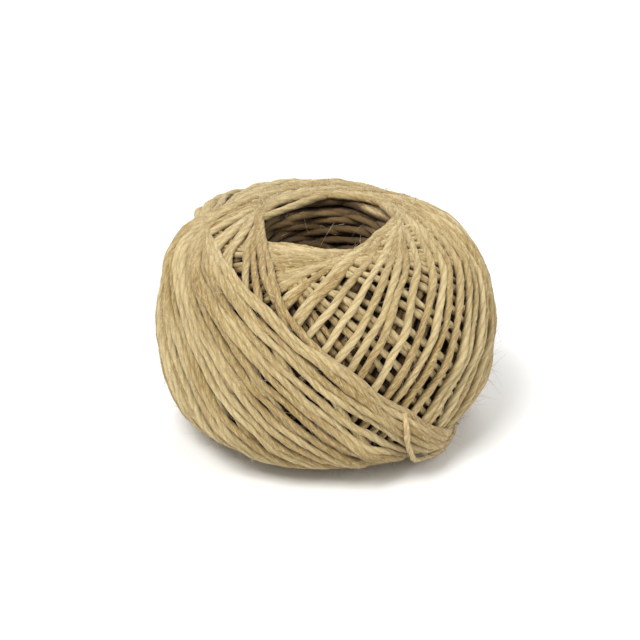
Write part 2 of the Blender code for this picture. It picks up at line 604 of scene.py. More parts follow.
@dataclass
class Winder:
    """Winds the twine and works out where each strand comes to rest.

    Attributes:
        barrel: the finished form.
        twine: the twine that is laid.
        rng: source of the winding's unevenness.
        depth: how far inside the finished form the winding starts.
        samples: points laid in one turn.
        turn_swing: how unevenly the turns are spaced, in radians.
        tilt_swing: how unevenly they are tilted, in radians.
        sideways_swing: how far a strand strays sideways.
    """

    barrel: Barrel
    twine: Twine
    rng: np.random.Generator
    depth: float = 0.0052
    samples: int = 480
    turn_swing: float = math.radians(0.9)
    tilt_swing: float = math.radians(0.7)
    sideways_swing: float = 0.00022
    ground: LayingGround = field(init=False)
    sunk: np.ndarray = field(init=False)

    TRIALS = 3
    SUNK_LIMITS = (0.003, 0.0095)
    SUNK_WINDOW = 5
    FULL_SHARE = 70                 # share of a row, in percent, that the form's surface is above
    COVERED = math.radians(59.0)    # strands reach no higher than this on the ball
    MOST_PROUD = 0.0018             # how far a strand may stand above the form at the waist
    LATE_TURNS = 97.0               # turns before the belt
    LATE_RISE = 3.0
    LATE_PROUD = 0.0022             # how much further the belt may stand out
    FIRST_DEEPER = 0.0040           # how much deeper than the last turn the first one lies
    KNUCKLE = (math.radians(32.0), math.radians(44.0))
    SHOULDER = (math.radians(20.0), math.radians(46.0))
    UNDERCUT = 1.25                 # how much sooner the form draws in below the waist
    FLOOR_PRESS = 0.0004
    STRIDES = (1, 2, 4, 7, 12, 20, 32)
    ROUNDS = 5
    LOOK_AHEAD = 40
    TURNING_WINDOW = 31
    REACH_WINDOWS = (13, 7)
    CENTRE_WINDOW = 3
    TURN_WAVE, TILT_WAVE = 1.3, 0.9         # wavelengths in turns
    STRAY_WAVE, KINK_WAVE = 0.10, 0.035
    KINK_SHARE = 0.4
    TONE_WAVES = ((0.35, 0.5), (0.03, 0.22))    # wavelength in metres, and swing

    def __post_init__(self) -> None:
        """Sinks the bare ground by the same depth all over."""
        self.sunk = np.full(LayingGround.ROWS, self.depth)

    def arm_path(self, sweeps: tuple[Sweep, ...]) -> tuple[np.ndarray, list[int]]:
        """Works out the directions in which the arm lays the twine.

        Args:
            sweeps: the sweeps, in order.

        Returns:
            A direction for each point of the twine, and the point at which each sweep ends.
        """
        turns, tilts, ends = [], [], []
        for sweep in sweeps:
            wound = np.arange(0, sweep.turns, 1 / self.samples)
            turn, tilt = sweep.planes(wound)
            turns.append(turn)
            tilts.append(tilt)
            ends.append(len(wound) + (ends[-1] if ends else 0))
        turn = soften(np.concatenate(turns), self.TURNING_WINDOW)
        tilt = soften(np.concatenate(tilts), self.TURNING_WINDOW)
        wound = np.arange(len(turn)) / self.samples
        turn += Wander(self.rng, self.TURN_WAVE, self.turn_swing).at(wound)
        tilt += Wander(self.rng, self.TILT_WAVE, self.tilt_swing).at(wound)
        angle = 2 * np.pi * wound
        level = np.stack([-np.sin(turn), np.cos(turn), np.zeros(len(turn))], axis=1)
        upward = (-np.cos(tilt) * np.cos(turn), -np.cos(tilt) * np.sin(turn), np.sin(tilt))
        upward = np.stack(upward, axis=1)
        facing = np.cross(level, upward)
        stray = Wander(self.rng, self.STRAY_WAVE, self.sideways_swing).at(wound)
        stray += Wander(self.rng, self.KINK_WAVE, self.sideways_swing * self.KINK_SHARE).at(wound)
        aside = stray / self.barrel.waist_radius
        path = np.cos(angle)[:, None] * level + np.sin(angle)[:, None] * upward
        return unit(path + facing * aside[:, None]), ends

    def taut(self, rest: np.ndarray, held: int) -> np.ndarray:
        """Pulls a strand taut over what it rests on.

        Args:
            rest: how high it must be at each point at least.
            held: how many points at the start are laid already.

        Returns:
            The strand's distance from the middle at each point.
        """
        reach = rest.copy()
        step = 2 * math.pi / self.samples
        for _ in range(self.ROUNDS):
            for stride in self.STRIDES:
                behind = reach[:-2 * stride]
                ahead = reach[2 * stride:]
                chord = 2 * behind * ahead * math.cos(stride * step) / (behind + ahead)
                middle = reach[stride:-stride]
                free = slice(max(held - stride, 0), None)
                middle[free] = np.maximum(middle, chord)[free]
        return reach

    def limits(self, path: np.ndarray) -> np.ndarray:
        """Works out how far out the twine may lie, so that the ball keeps its form.

        The floor flattens the underneath, and later turns may stand further out than early ones.

        Args:
            path: the direction of each point of the twine.

        Returns:
            The greatest distance from the middle at each point.
        """
        floor = (self.barrel.waist_height + self.FLOOR_PRESS) / np.maximum(-path[:, 2], 1e-6)
        above_level = np.arcsin(np.clip(path[:, 2], -1, 1))
        steep = np.where(above_level > 0, above_level, -above_level * self.UNDERCUT)
        wound = np.arange(len(path)) / self.samples
        late = smooth_step(0.0, self.LATE_RISE, wound - self.LATE_TURNS)
        late = late * (1 - smooth_step(*self.KNUCKLE, steep))
        proud = self.MOST_PROUD * (1 - smooth_step(*self.SHOULDER, steep)) + self.LATE_PROUD * late
        proud -= self.FIRST_DEEPER * (1 - wound / wound[-1])
        return np.minimum(floor, self.barrel.reach(above_level) - self.twine.radius + proud)

    def lay(self, path: np.ndarray) -> np.ndarray:
        """Lays twine turn by turn on bare ground.

        Args:
            path: the direction of each point of the twine.

        Returns:
            How far from the middle each point comes to rest.
        """
        self.ground = LayingGround(self.barrel, self.sunk, self.twine)
        reach = np.zeros(len(path))
        limits = self.limits(path)
        for start in range(0, len(path), self.samples):
            stop = min(start + self.samples, len(path))
            held = min(start, self.LOOK_AHEAD)
            window = slice(start - held, min(stop + self.LOOK_AHEAD, len(path)))
            rest = self.ground.read(self.ground.rest, path[window])
            rest[:held] = reach[start - held:start]
            laid = np.minimum(self.taut(rest, held), limits[window])
            reach[start:stop] = laid[held:held + stop - start]
            self.ground.press(path[start:stop] * reach[start:stop, None])
        return reach

    def try_out(self, path: np.ndarray) -> None:
        """Winds the ball on trial, and sinks the ground where it comes out too full.

        Args:
            path: the direction of each point of the twine.
        """
        for _ in range(self.TRIALS):
            self.lay(path)
            full = np.percentile(self.ground.top, self.FULL_SHARE, axis=1)
            wanted = self.barrel.reach(self.ground.elevations)
            elevations = self.ground.elevations
            covered = np.abs(elevations) < self.COVERED
            excess = np.interp(np.abs(elevations), elevations[covered], (full - wanted)[covered])
            self.sunk = self.sunk + soften(excess, self.SUNK_WINDOW)
            self.sunk = np.clip(self.sunk, *self.SUNK_LIMITS)

    def wind(self, sweeps: tuple[Sweep, ...]) -> dict[str, Run]:
        """Lays the whole length of twine.

        Args:
            sweeps: the sweeps, in order.

        Returns:
            One run for each sweep, by name.
        """
        path, ends = self.arm_path(sweeps)
        self.try_out(path)
        reach = self.lay(path)
        for window in self.REACH_WINDOWS:
            reach = soften(reach, window)
        centres = path * reach[:, None]
        centres = np.stack([soften(axis, self.CENTRE_WINDOW) for axis in centres.T], axis=1)
        centres = centres + self.barrel.middle
        along = length_along(centres)
        girth = self.twine.uneven_girth(along, self.rng)
        tone = sum(Wander(self.rng, *wave).at(along) for wave in self.TONE_WAVES)
        whole = Run(centres, girth, along, tone)
        starts = [0] + ends[:-1]
        return {sweep.name: whole.part(max(first - 1, 0), last)
                for sweep, first, last in zip(sweeps, starts, ends)}


# ---------------------------------------------------------------------------------------------
# From runs to meshes


@dataclass(frozen=True)
class StrandShape:
    """The round, plied body that a run of twine is given.

    Attributes:
        sides: flats round the strand.
        plies: how many plies show as lobes.
        lobe_depth: how deep the grooves between them are, as a share of the radius.
    """

    sides: int
    plies: int = 3
    lobe_depth: float = 0.06

    def node_group(self) -> bpy.types.NodeTree:
        """Makes the geometry nodes that sweep the strand's section along its runs.

        Returns:
            A node group that takes a wire and gives its body.
        """
        group = bpy.data.node_groups.new(f"strand_{self.sides}", "GeometryNodeTree")
        for way in ("INPUT", "OUTPUT"):
            group.interface.new_socket("Geometry", in_out=way, socket_type="NodeSocketGeometry")
        bench = NodeBench(group)
        source = bench.add("NodeGroupInput")
        result = bench.add("NodeGroupOutput")
        carried = {}
        for name in ("twist", "girth"):
            reader = bench.add("GeometryNodeInputNamedAttribute", data_type="FLOAT")
            reader.inputs["Name"].default_value = name
            carried[name] = reader.outputs["Attribute"]

        curve = bench.add("GeometryNodeMeshToCurve")
        bench.feed(curve.inputs["Mesh"], source.outputs[0])
        twisted = bench.add("GeometryNodeSetCurveTilt")
        bench.feed(twisted.inputs["Curve"], curve.outputs["Curve"])
        bench.feed(twisted.inputs["Tilt"], carried["twist"])

        circle = bench.add("GeometryNodeCurvePrimitiveCircle")
        circle.inputs["Resolution"].default_value = self.sides
        circle.inputs["Radius"].default_value = 1.0
        place = bench.add("GeometryNodeInputPosition").outputs[0]
        kept = bench.add("GeometryNodeCaptureAttribute")
        kept.capture_items.new("VECTOR", "ring")
        bench.feed(kept.inputs["Geometry"], circle.outputs["Curve"])
        bench.feed(kept.inputs["ring"], place)
        split = bench.add("ShaderNodeSeparateXYZ")
        bench.feed(split.inputs[0], place)
        angle = bench.maths("ARCTAN2", split.outputs["Y"], split.outputs["X"])
        lobes = bench.maths("COSINE", bench.maths("MULTIPLY", angle, float(self.plies)))
        scaled = bench.add("ShaderNodeVectorMath", operation="SCALE")
        bench.feed(scaled.inputs[0], place)
        bench.feed(scaled.inputs["Scale"], bench.maths("MULTIPLY_ADD", lobes, self.lobe_depth, 1.0))
        section = bench.add("GeometryNodeSetPosition")
        bench.feed(section.inputs["Geometry"], kept.outputs["Geometry"])
        bench.feed(section.inputs["Position"], scaled.outputs[0])

        body = bench.add("GeometryNodeCurveToMesh")
        bench.feed(body.inputs["Curve"], twisted.outputs["Curve"])
        bench.feed(body.inputs["Profile Curve"], section.outputs["Geometry"])
        bench.feed(body.inputs["Scale"], carried["girth"])
        body.inputs["Fill Caps"].default_value = True
        store = bench.add("GeometryNodeStoreNamedAttribute", data_type="FLOAT_VECTOR", domain="POINT")
        store.inputs["Name"].default_value = "ring"
        bench.feed(store.inputs["Geometry"], body.outputs["Mesh"])
        bench.feed(store.inputs["Value"], kept.outputs["ring"])
        bench.feed(result.inputs[0], store.outputs["Geometry"])
        return group

    def body(self, name: str, runs: list[Run], twine: Twine) -> bpy.types.Object:
        """Makes one mesh piece from runs of twine.

        Args:
            name: the piece's name.
            runs: its runs.
            twine: the twine they are of.

        Returns:
            The piece, in the scene, with the attributes that its material reads.
        """
        wire = bpy.data.meshes.new(name + "_wire")
        counts = [len(run.points) for run in runs]
        firsts = np.cumsum([0] + counts[:-1])
        edges = np.concatenate([np.arange(first, first + count - 1)
                                for first, count in zip(firsts, counts)])
        wire.vertices.add(sum(counts))
        wire.vertices.foreach_set("co", np.concatenate([run.points for run in runs]).ravel())
        wire.edges.add(len(edges))
        wire.edges.foreach_set("vertices", np.stack([edges, edges + 1], 1).ravel().astype(np.int32))
        along = np.concatenate([run.along for run in runs])
        carried = {
            "girth": np.concatenate([run.girth for run in runs]),
            "twist": twine.twist(along),
            "along": along,
            "tone": np.concatenate([run.tone for run in runs]),
        }
        for key, values in carried.items():
            wire.attributes.new(key, "FLOAT", "POINT").data.foreach_set("value", values)
        guide = add_object(name + "_wire", wire)
        sweeper = guide.modifiers.new("body", "NODES")
        sweeper.node_group = self.node_group()
        swept = guide.evaluated_get(bpy.context.evaluated_depsgraph_get())
        mesh = bpy.data.meshes.new_from_object(swept)
        bpy.data.objects.remove(guide)
        bpy.data.meshes.remove(wire)
        for spent in ("girth", "twist"):
            mesh.attributes.remove(mesh.attributes[spent])
        mesh.name = name
        mesh.shade_smooth()
        return add_object(name, mesh)


def vertex_places(piece: bpy.types.Object) -> np.ndarray:
    """Reads where a piece's vertices are.

    Args:
        piece: the piece.

    Returns:
        The place of each vertex.
    """
    places = np.empty(len(piece.data.vertices) * 3, np.float32)
    piece.data.vertices.foreach_get("co", places)
    return places.reshape(-1, 3).astype(float)


def set_vertex_places(piece: bpy.types.Object, places: np.ndarray) -> None:
    """Moves a piece's vertices to new places."""
    piece.data.vertices.foreach_set("co", places.astype(np.float32).ravel())
    piece.data.update()


def set_vertex_values(piece: bpy.types.Object, name: str, values: np.ndarray) -> None:
    """Gives a piece a named number at each vertex."""
    layer = piece.data.attributes.new(name, "FLOAT", "POINT")
    layer.data.foreach_set("value", values.astype(np.float32))


@dataclass(frozen=True)
class Settling:
    """How the ball's own weight flattens the strands that it rests on.

    Attributes:
        height: strands above this height keep their shape.
        lowest: how far below the floor the lowest strand would reach.
    """

    height: float
    lowest: float

    FIRST_GUESS = 0.6       # of the rate, as a share of the height
    GUESSES = 40

    @classmethod
    def of(cls, pieces: list[bpy.types.Object], height: float) -> "Settling":
        """Finds how far the lowest of some pieces reaches."""
        return cls(height, min(vertex_places(piece)[:, 2].min() for piece in pieces))

    def settle(self, piece: bpy.types.Object) -> None:
        """Presses a piece's lowest strands flat against the floor.

        Args:
            piece: the piece to press.
        """
        places = vertex_places(piece)
        deepest = self.height - self.lowest
        rate = self.height * self.FIRST_GUESS
        for _ in range(self.GUESSES):
            rate = self.height / (1 - math.exp(-deepest / rate))
        drop = np.clip(self.height - places[:, 2], 0.0, None)
        pressed = self.height * (1 - np.exp(-drop / rate)) / (1 - math.exp(-deepest / rate))
        places[:, 2] = np.where(drop > 0, self.height - pressed, places[:, 2])
        set_vertex_places(piece, places)


# ---------------------------------------------------------------------------------------------
# Finishes


@dataclass(frozen=True)
class FibreGroup:
    """The jute fibres on a strand, a node group that every twine material shares."""

    NAME = "jute_fibres"
    PLIES = 3.0
    STREAK = (0.14, 4.2, 4.0)       # stretch along the strand, fineness and detail
    FLECK = (0.40, 2.6, 3.0)
    NOISE_ROUGHNESS = 0.6
    STREAK_RANGE = (0.36, 0.64)
    FLECK_RANGE = (0.50, 0.74)
    GROOVE_RANGE = (0.15, 1.0)
    FLECK_HEIGHT = 0.4
    GROOVE_DEPTH = 0.35
    INPUTS = (("Along", "NodeSocketFloat", 0.0), ("Ring", "NodeSocketVector", (0.0, 0.0, 0.0)),
              ("Fineness", "NodeSocketFloat", 1.0))
    OUTPUTS = (("Streak", "NodeSocketFloat"), ("Fleck", "NodeSocketFloat"),
               ("Groove", "NodeSocketFloat"), ("Height", "NodeSocketFloat"))

    def tree(self) -> bpy.types.NodeTree:
        """Finds the group, or makes it the first time.

        Returns:
            The shader node group.
        """
        found = bpy.data.node_groups.get(self.NAME)
        if found:
            return found
        group = bpy.data.node_groups.new(self.NAME, "ShaderNodeTree")
        for name, kind, value in self.INPUTS:
            socket = group.interface.new_socket(name, in_out="INPUT", socket_type=kind)
            socket.default_value = value
        for name, kind in self.OUTPUTS:
            group.interface.new_socket(name, in_out="OUTPUT", socket_type=kind)
        bench = NodeBench(group)
        source = bench.add("NodeGroupInput")
        result = bench.add("NodeGroupOutput")
        ring = bench.add("ShaderNodeSeparateXYZ")
        bench.feed(ring.inputs[0], source.outputs["Ring"])
        millimetres = bench.maths("MULTIPLY", source.outputs["Along"], 1000.0)

        def noise(stretch: float, fineness: float, detail: float) -> bpy.types.NodeSocket:
            """Adds noise that is drawn out along the strand.

            Args:
                stretch: how quickly it changes along the strand.
                fineness: how fine it is round the strand.
                detail: how many finer layers it has.

            Returns:
                The noise.
            """
            place = bench.add("ShaderNodeCombineXYZ")
            bench.feed(place.inputs[0], bench.maths("MULTIPLY", millimetres, stretch))
            bench.feed(place.inputs[1], ring.outputs["X"])
            bench.feed(place.inputs[2], ring.outputs["Y"])
            node = bench.add("ShaderNodeTexNoise", noise_dimensions="3D")
            bench.feed(node.inputs["Vector"], place.outputs[0])
            scale = bench.maths("MULTIPLY", source.outputs["Fineness"], fineness)
            bench.feed(node.inputs["Scale"], scale)
            node.inputs["Detail"].default_value = detail
            node.inputs["Roughness"].default_value = self.NOISE_ROUGHNESS
            return node.outputs[0]

        streak = noise(*self.STREAK)
        fleck = noise(*self.FLECK)
        angle = bench.maths("ARCTAN2", ring.outputs["Y"], ring.outputs["X"])
        lobe = bench.maths("COSINE", bench.maths("MULTIPLY", angle, self.PLIES))
        groove = bench.span(bench.maths("MULTIPLY", lobe, -1.0), *self.GROOVE_RANGE)
        raised = bench.maths("ADD", streak, bench.maths("MULTIPLY", fleck, self.FLECK_HEIGHT))
        height = bench.maths("SUBTRACT", raised, bench.maths("MULTIPLY", groove, self.GROOVE_DEPTH))
        bench.feed(result.inputs["Streak"], bench.span(streak, *self.STREAK_RANGE))
        bench.feed(result.inputs["Fleck"], bench.span(fleck, *self.FLECK_RANGE))
        bench.feed(result.inputs["Groove"], groove)
        bench.feed(result.inputs["Height"], height)
        return group


def new_material(name: str) -> tuple[bpy.types.Material, NodeBench, bpy.types.Node]:
    """Starts a material.

    Args:
        name: its name.

    Returns:
        The material, a bench for its nodes, and its shader.
    """
    material = bpy.data.materials.new(name)
    material.use_nodes = True
    return material, NodeBench(material.node_tree), material.node_tree.nodes["Principled BSDF"]


@dataclass(frozen=True)
class TwineFinish:
    """Natural jute twine: straw fibres, with painted shade, tan then dark brown, deep between the
    strands and in the ply grooves.

    Attributes:
        name: the material's name.
        pale: colour of the lightest fibres.
        straw: usual colour.
        tan: colour of darker fibres, and the colour of painted shade in the ply grooves and on
            strands further in.
        shade: colour of painted shade deep between the strands.
        fineness: how fine the fibres are.
        bump: how far the fibres stand out, as a share of their height.
    """

    name: str
    pale: tuple[float, float, float, float] = (0.720, 0.605, 0.345, 1.0)
    straw: tuple[float, float, float, float] = (0.400, 0.300, 0.126, 1.0)
    tan: tuple[float, float, float, float] = (0.205, 0.120, 0.038, 1.0)
    shade: tuple[float, float, float, float] = (0.070, 0.038, 0.013, 1.0)
    fineness: float = 1.0
    bump: float = 0.55

    ROUGHEST, SMOOTHEST = 0.94, 0.80
    SHEEN = 0.12
    SPECULAR = 0.22
    BUMP_DISTANCE = 0.00022
    FLECK_SHARE = 0.42
    TONE_SHARE = 0.5
    # how much painted shade, tan, darkens the grooves between the plies
    GROOVE_SHADE_SHARE = 0.35
    TAN_SHADE_DEPTHS = (0.15, 0.85, 0.0, 0.85)   # painted shade: depths where it turns tan, and how much of it does
    DARK_SHADE_DEPTHS = (0.38, 1.15, 0.0, 0.97)   # the same for the shade

    def material(self) -> bpy.types.Material:
        """Makes the material.

        Returns:
            The material, which reads along, ring, tone and the depth in the clefts from the piece,
            and paints shade by that depth.
        """
        material, bench, shader = new_material(self.name)
        fibres = bench.add("ShaderNodeGroup", node_tree=FibreGroup().tree())
        tone = bench.attribute("tone").outputs["Fac"]
        cleft_shade = bench.attribute("cleft_shade").outputs["Fac"]
        bench.feed(fibres.inputs["Along"], bench.attribute("along").outputs["Fac"])
        bench.feed(fibres.inputs["Ring"], bench.attribute("ring").outputs["Vector"])
        fibres.inputs["Fineness"].default_value = self.fineness

        fibre = bench.blend(fibres.outputs["Streak"], self.tan, self.straw)
        fleck = bench.maths("MULTIPLY", fibres.outputs["Fleck"], self.FLECK_SHARE)
        fibre = bench.blend(fleck, fibre, self.pale)
        lightness = bench.maths("MULTIPLY", bench.span(tone, -1.0, 1.0), self.TONE_SHARE)
        fibre = bench.blend(lightness, fibre, self.pale)
        # Painted shade, tan, in the grooves between the plies.
        groove = bench.maths("MULTIPLY", fibres.outputs["Groove"], self.GROOVE_SHADE_SHARE)
        fibre = bench.blend(groove, fibre, self.tan)
        # Painted shade: the deeper a vertex lies below the ball's surface, the more it turns tan and
        # then dark brown.
        tan_shaded = bench.blend(bench.span(cleft_shade, *self.TAN_SHADE_DEPTHS), fibre, self.tan)
        colour = bench.blend(bench.span(cleft_shade, *self.DARK_SHADE_DEPTHS), tan_shaded, self.shade)
        bench.feed(shader.inputs["Base Color"], colour)
        roughness = bench.span(fibres.outputs["Streak"], 0.0, 1.0, self.ROUGHEST, self.SMOOTHEST)
        bench.feed(shader.inputs["Roughness"], roughness)
        shader.inputs["Sheen Weight"].default_value = self.SHEEN
        shader.inputs["Specular IOR Level"].default_value = self.SPECULAR
        bump = bench.add("ShaderNodeBump")
        bump.inputs["Strength"].default_value = self.bump
        bump.inputs["Distance"].default_value = self.BUMP_DISTANCE
        bench.feed(bump.inputs["Height"], fibres.outputs["Height"])
        bench.feed(shader.inputs["Normal"], bump.outputs["Normal"])
        return material


@dataclass(frozen=True)
class HairFinish:
    """Loose jute fibres that stand off the twine.

    Attributes:
        name: the material's name.
        pale: colour of the lightest fibres.
        straw: colour of the others.
    """

    name: str
    pale: tuple[float, float, float, float] = (0.78, 0.69, 0.48, 1.0)
    straw: tuple[float, float, float, float] = (0.19, 0.12, 0.05, 1.0)

    ROUGHNESS = 0.6
    SPECULAR = 0.3

    def material(self) -> bpy.types.Material:
        """Makes the material.

        Returns:
            The material, which varies from fibre to fibre by their tone.
        """
        material, bench, shader = new_material(self.name)
        share = bench.span(bench.attribute("tone").outputs["Fac"], -1.0, 1.0)
        bench.feed(shader.inputs["Base Color"], bench.blend(share, self.straw, self.pale))
        shader.inputs["Roughness"].default_value = self.ROUGHNESS
        shader.inputs["Specular IOR Level"].default_value = self.SPECULAR
        return material


@dataclass(frozen=True)
class CoreFinish:
    """Twine deep inside the ball, painted dark brown as shade, since little light gets to it.

    Attributes:
        name: the material's name.
        dark: painted shade in its gaps.
        brown: painted shade on its strands, a little lighter.
    """

    name: str
    dark: tuple[float, float, float, float] = (0.030, 0.017, 0.007, 1.0)
    brown: tuple[float, float, float, float] = (0.120, 0.068, 0.026, 1.0)

    ROUGHNESS = 0.95
    FINENESS = 420.0
    DETAIL = 4.0
    MOTTLE_RANGE = (0.35, 0.7)
    BUMP = 0.6
    BUMP_DISTANCE = 0.0006

    def material(self) -> bpy.types.Material:
        """Makes the material.

        Returns:
            The material, mottled by noise on the piece's own coordinates.
        """
        material, bench, shader = new_material(self.name)
        place = bench.add("ShaderNodeTexCoord").outputs["Object"]
        noise = bench.add("ShaderNodeTexNoise")
        bench.feed(noise.inputs["Vector"], place)
        noise.inputs["Scale"].default_value = self.FINENESS
        noise.inputs["Detail"].default_value = self.DETAIL
        mottle = bench.span(noise.outputs[0], *self.MOTTLE_RANGE)
        bench.feed(shader.inputs["Base Color"], bench.blend(mottle, self.dark, self.brown))
        shader.inputs["Roughness"].default_value = self.ROUGHNESS
        bump = bench.add("ShaderNodeBump")
        bump.inputs["Strength"].default_value = self.BUMP
        bump.inputs["Distance"].default_value = self.BUMP_DISTANCE
        bench.feed(bump.inputs["Height"], noise.outputs[0])
        bench.feed(shader.inputs["Normal"], bump.outputs["Normal"])
        return material


@dataclass(frozen=True)
class PlainFinish:
    """An even, matt colour for the floor.

    Attributes:
        name: the material's name.
        colour: its colour.
        roughness: how matt it is.
    """

    name: str
    colour: tuple[float, float, float, float]
    roughness: float = 0.9

    def material(self) -> bpy.types.Material:
        """Makes the material.

        Returns:
            The material.
        """
        material, _, shader = new_material(self.name)
        shader.inputs["Base Color"].default_value = self.colour
        shader.inputs["Roughness"].default_value = self.roughness
        return material


# ---------------------------------------------------------------------------------------------
# The ball's sub-assemblies


@dataclass
class WoundBody:
    """All the turns of the ball.

    Attributes:
        barrel: the finished form.
        twine: the twine.
        rng: source of unevenness.
        pieces: the pieces made so far.
        runs: the twine of each sweep, by the sweep's name.
    """

    barrel: Barrel
    twine: Twine
    rng: np.random.Generator
    pieces: list[bpy.types.Object] = field(default_factory=list)
    runs: dict[str, Run] = field(default_factory=dict)

    UNDER_SPACING = 0.0016
    OUTER_SPACING = 0.0009
    UNDER_SHAPE = StrandShape(sides=8)
    OUTER_SHAPE = StrandShape(sides=12)
    BLUR_ROUNDS = 12
    CLEFT_DEPTH = 0.0022        # depth below the surface that counts as one whole unit of painted shade
    CLEFT_LIMITS = (-0.5, 1.5)

    def build(self) -> None:
        """Winds the twine and makes its pieces."""
        winder = Winder(self.barrel, self.twine, self.rng)
        self.runs = winder.wind((UNDER_SWEEP, OUTER_SWEEP, BELT_SWEEP))
        self.ground = winder.ground
        under = self.runs[UNDER_SWEEP.name].spaced(self.UNDER_SPACING)
        outer = self.runs[OUTER_SWEEP.name].spaced(self.OUTER_SPACING)
        belt = self.runs[BELT_SWEEP.name].spaced(self.OUTER_SPACING)
        half = len(outer.points) // 2
        plan = (
            ("under_turns", self.UNDER_SHAPE, under),
            ("outer_turns_first", self.OUTER_SHAPE, outer.part(0, half + 1)),
            ("outer_turns_last", self.OUTER_SHAPE, outer.part(half, len(outer.points))),
            ("belt_turns", self.OUTER_SHAPE, belt),
        )
        for name, shape, run in plan:
            self.pieces.append(shape.body(name, [run], self.twine))
            log.info("%s: %.2f m of twine, %d faces", name, run.along[-1] - run.along[0],
                     len(self.pieces[-1].data.polygons))

    def shade_clefts(self, pieces: list[bpy.types.Object]) -> None:
        """Gives each vertex its depth below the ball's surface, which the twine material paints as
        shade.

        Args:
            pieces: the pieces to shade.
        """
        evened = self.ground.blurred_top(self.BLUR_ROUNDS)
        for piece in pieces:
            offset = vertex_places(piece) - self.barrel.middle
            depth = self.ground.read(evened, offset) - np.linalg.norm(offset, axis=1)
            cleft_shade = np.clip(depth / self.CLEFT_DEPTH, *self.CLEFT_LIMITS)
            set_vertex_values(piece, "cleft_shade", cleft_shade)


@dataclass
class HoleWall:
    """The turns that show inside the core hole, where each passes the spindle.

    Attributes:
        barrel: the finished form.
        twine: the twine.
        rng: source of unevenness.
        strands: how many strands show in each half of the hole.
        throat: distance of their centres from the axis at mid height.
        flare: how much further out they are at the rims.
        half_length: how far each reaches on each side of where it passes the axis.
        sag_radius: how tightly they bend down into the ball.
    """

    barrel: Barrel
    twine: Twine
    rng: np.random.Generator
    strands: int = 100
    throat: float = 0.0145
    flare: float = 0.0014
    half_length: float = 0.0125
    sag_radius: float = 0.028

    GOLDEN_ANGLE = math.radians(137.508)
    BELOW_CREST = 0.0045
    SPACING = 0.0013
    UNEVEN_THROAT = 0.0002
    UNEVEN_LEAN = 0.07
    UNEVEN_TONE = 0.5
    LENGTH_BETWEEN = 0.05       # of twine from one passage through the hole to the next
    # Painted shade on the hole's strands: some at the rims, more down the hole and further from the
    # axis.
    RIM_SHADE = 0.60
    DEEPER_SHADE = 0.38
    RIM_DEPTHS = (0.002, 0.016)
    SHADE_PER_METRE = 100
    MOST_OUTWARD = 0.005

    def runs(self) -> list[Run]:
        """Works out the strands.

        Returns:
            One run for each.
        """
        found = []
        middle = self.barrel.crest_height / 2
        reach = np.linspace(-self.half_length, self.half_length,
                            int(2 * self.half_length / self.SPACING) + 1)
        for side in (1.0, -1.0):
            for number in range(self.strands):
                share = number / self.strands
                height = (middle - self.BELOW_CREST) * share
                turn = number * self.GOLDEN_ANGLE + (0.0 if side > 0 else 1.0)
                out = self.throat + self.flare * share ** 2 + self.rng.normal(0, self.UNEVEN_THROAT)
                lean = self.rng.normal(0, self.UNEVEN_LEAN)
                facing = np.array([math.cos(turn), math.sin(turn), 0.0])
                across = np.array([-math.sin(turn), math.cos(turn), 0.0])
                drop = height - reach ** 2 / (2 * self.sag_radius) + reach * lean
                points = (facing * out + reach[:, None] * across)
                points[:, 2] = middle + side * drop
                along = reach + number * self.LENGTH_BETWEEN
                girth = self.twine.uneven_girth(along, self.rng)
                tone = np.full(len(along), self.rng.normal(0, self.UNEVEN_TONE))
                found.append(Run(points, girth, along, tone))
        return found

    def build(self) -> bpy.types.Object:
        """Makes the wall's piece, with painted shade that deepens down the hole and away from the
        axis.

        Returns:
            The piece.
        """
        piece = StrandShape(sides=8).body("hole_turns", self.runs(), self.twine)
        places = vertex_places(piece)
        from_rim = np.minimum(places[:, 2], self.barrel.crest_height - places[:, 2])
        outward = np.hypot(places[:, 0], places[:, 1]) - self.throat
        # Painted shade, deeper down the hole and further out from the axis.
        cleft_shade = self.RIM_SHADE + self.DEEPER_SHADE * smooth_step(*self.RIM_DEPTHS, from_rim)
        cleft_shade += self.SHADE_PER_METRE * np.clip(outward, 0, self.MOST_OUTWARD)
        set_vertex_values(piece, "cleft_shade", cleft_shade)
        return piece


@dataclass(frozen=True)
class CoreLining:
    """The inside of the ball, a sheet painted dark as shade, which shows only through the gaps
    between strands.

    Attributes:
        barrel: the finished form.
        depth: how far inside the finished form it lies.
        wall_radius: its own hole's radius.
        steps: flats round it.
    """

    barrel: Barrel
    depth: float = 0.0062
    wall_radius: float = 0.0168
    steps: int = 72

    TOP_ANGLE = math.radians(56)
    SIDE_POINTS = 25
    LOWEST = 0.003
    WALL_INSET = 0.002

    def build(self) -> bpy.types.Object:
        """Turns the lining's section round the axis.

        Returns:
            The piece.
        """
        shape = bmesh.new()
        section = []
        for elevation in np.linspace(self.TOP_ANGLE, -self.TOP_ANGLE, self.SIDE_POINTS):
            reach = float(self.barrel.reach(np.array([elevation]))[0]) - self.depth
            height = max(self.barrel.waist_height + reach * math.sin(elevation), self.LOWEST)
            section.append(shape.verts.new((reach * math.cos(elevation), 0, height)))
        wall = (section[-1].co.z + self.WALL_INSET, section[0].co.z - self.WALL_INSET)
        for height in wall:
            section.append(shape.verts.new((self.wall_radius, 0, height)))
        edges = [shape.edges.new(pair) for pair in zip(section, section[1:] + section[:1])]
        bmesh.ops.spin(shape, geom=section + edges, cent=(0, 0, 0), axis=(0, 0, 1),
                       angle=2 * math.pi, steps=self.steps, use_merge=True)
        bmesh.ops.remove_doubles(shape, verts=shape.verts[:], dist=1e-6)
        bmesh.ops.recalc_face_normals(shape, faces=shape.faces[:])
        mesh = bpy.data.meshes.new("core_lining")
        shape.to_mesh(mesh)
        shape.free()
        mesh.shade_smooth()
        return add_object("core_lining", mesh)


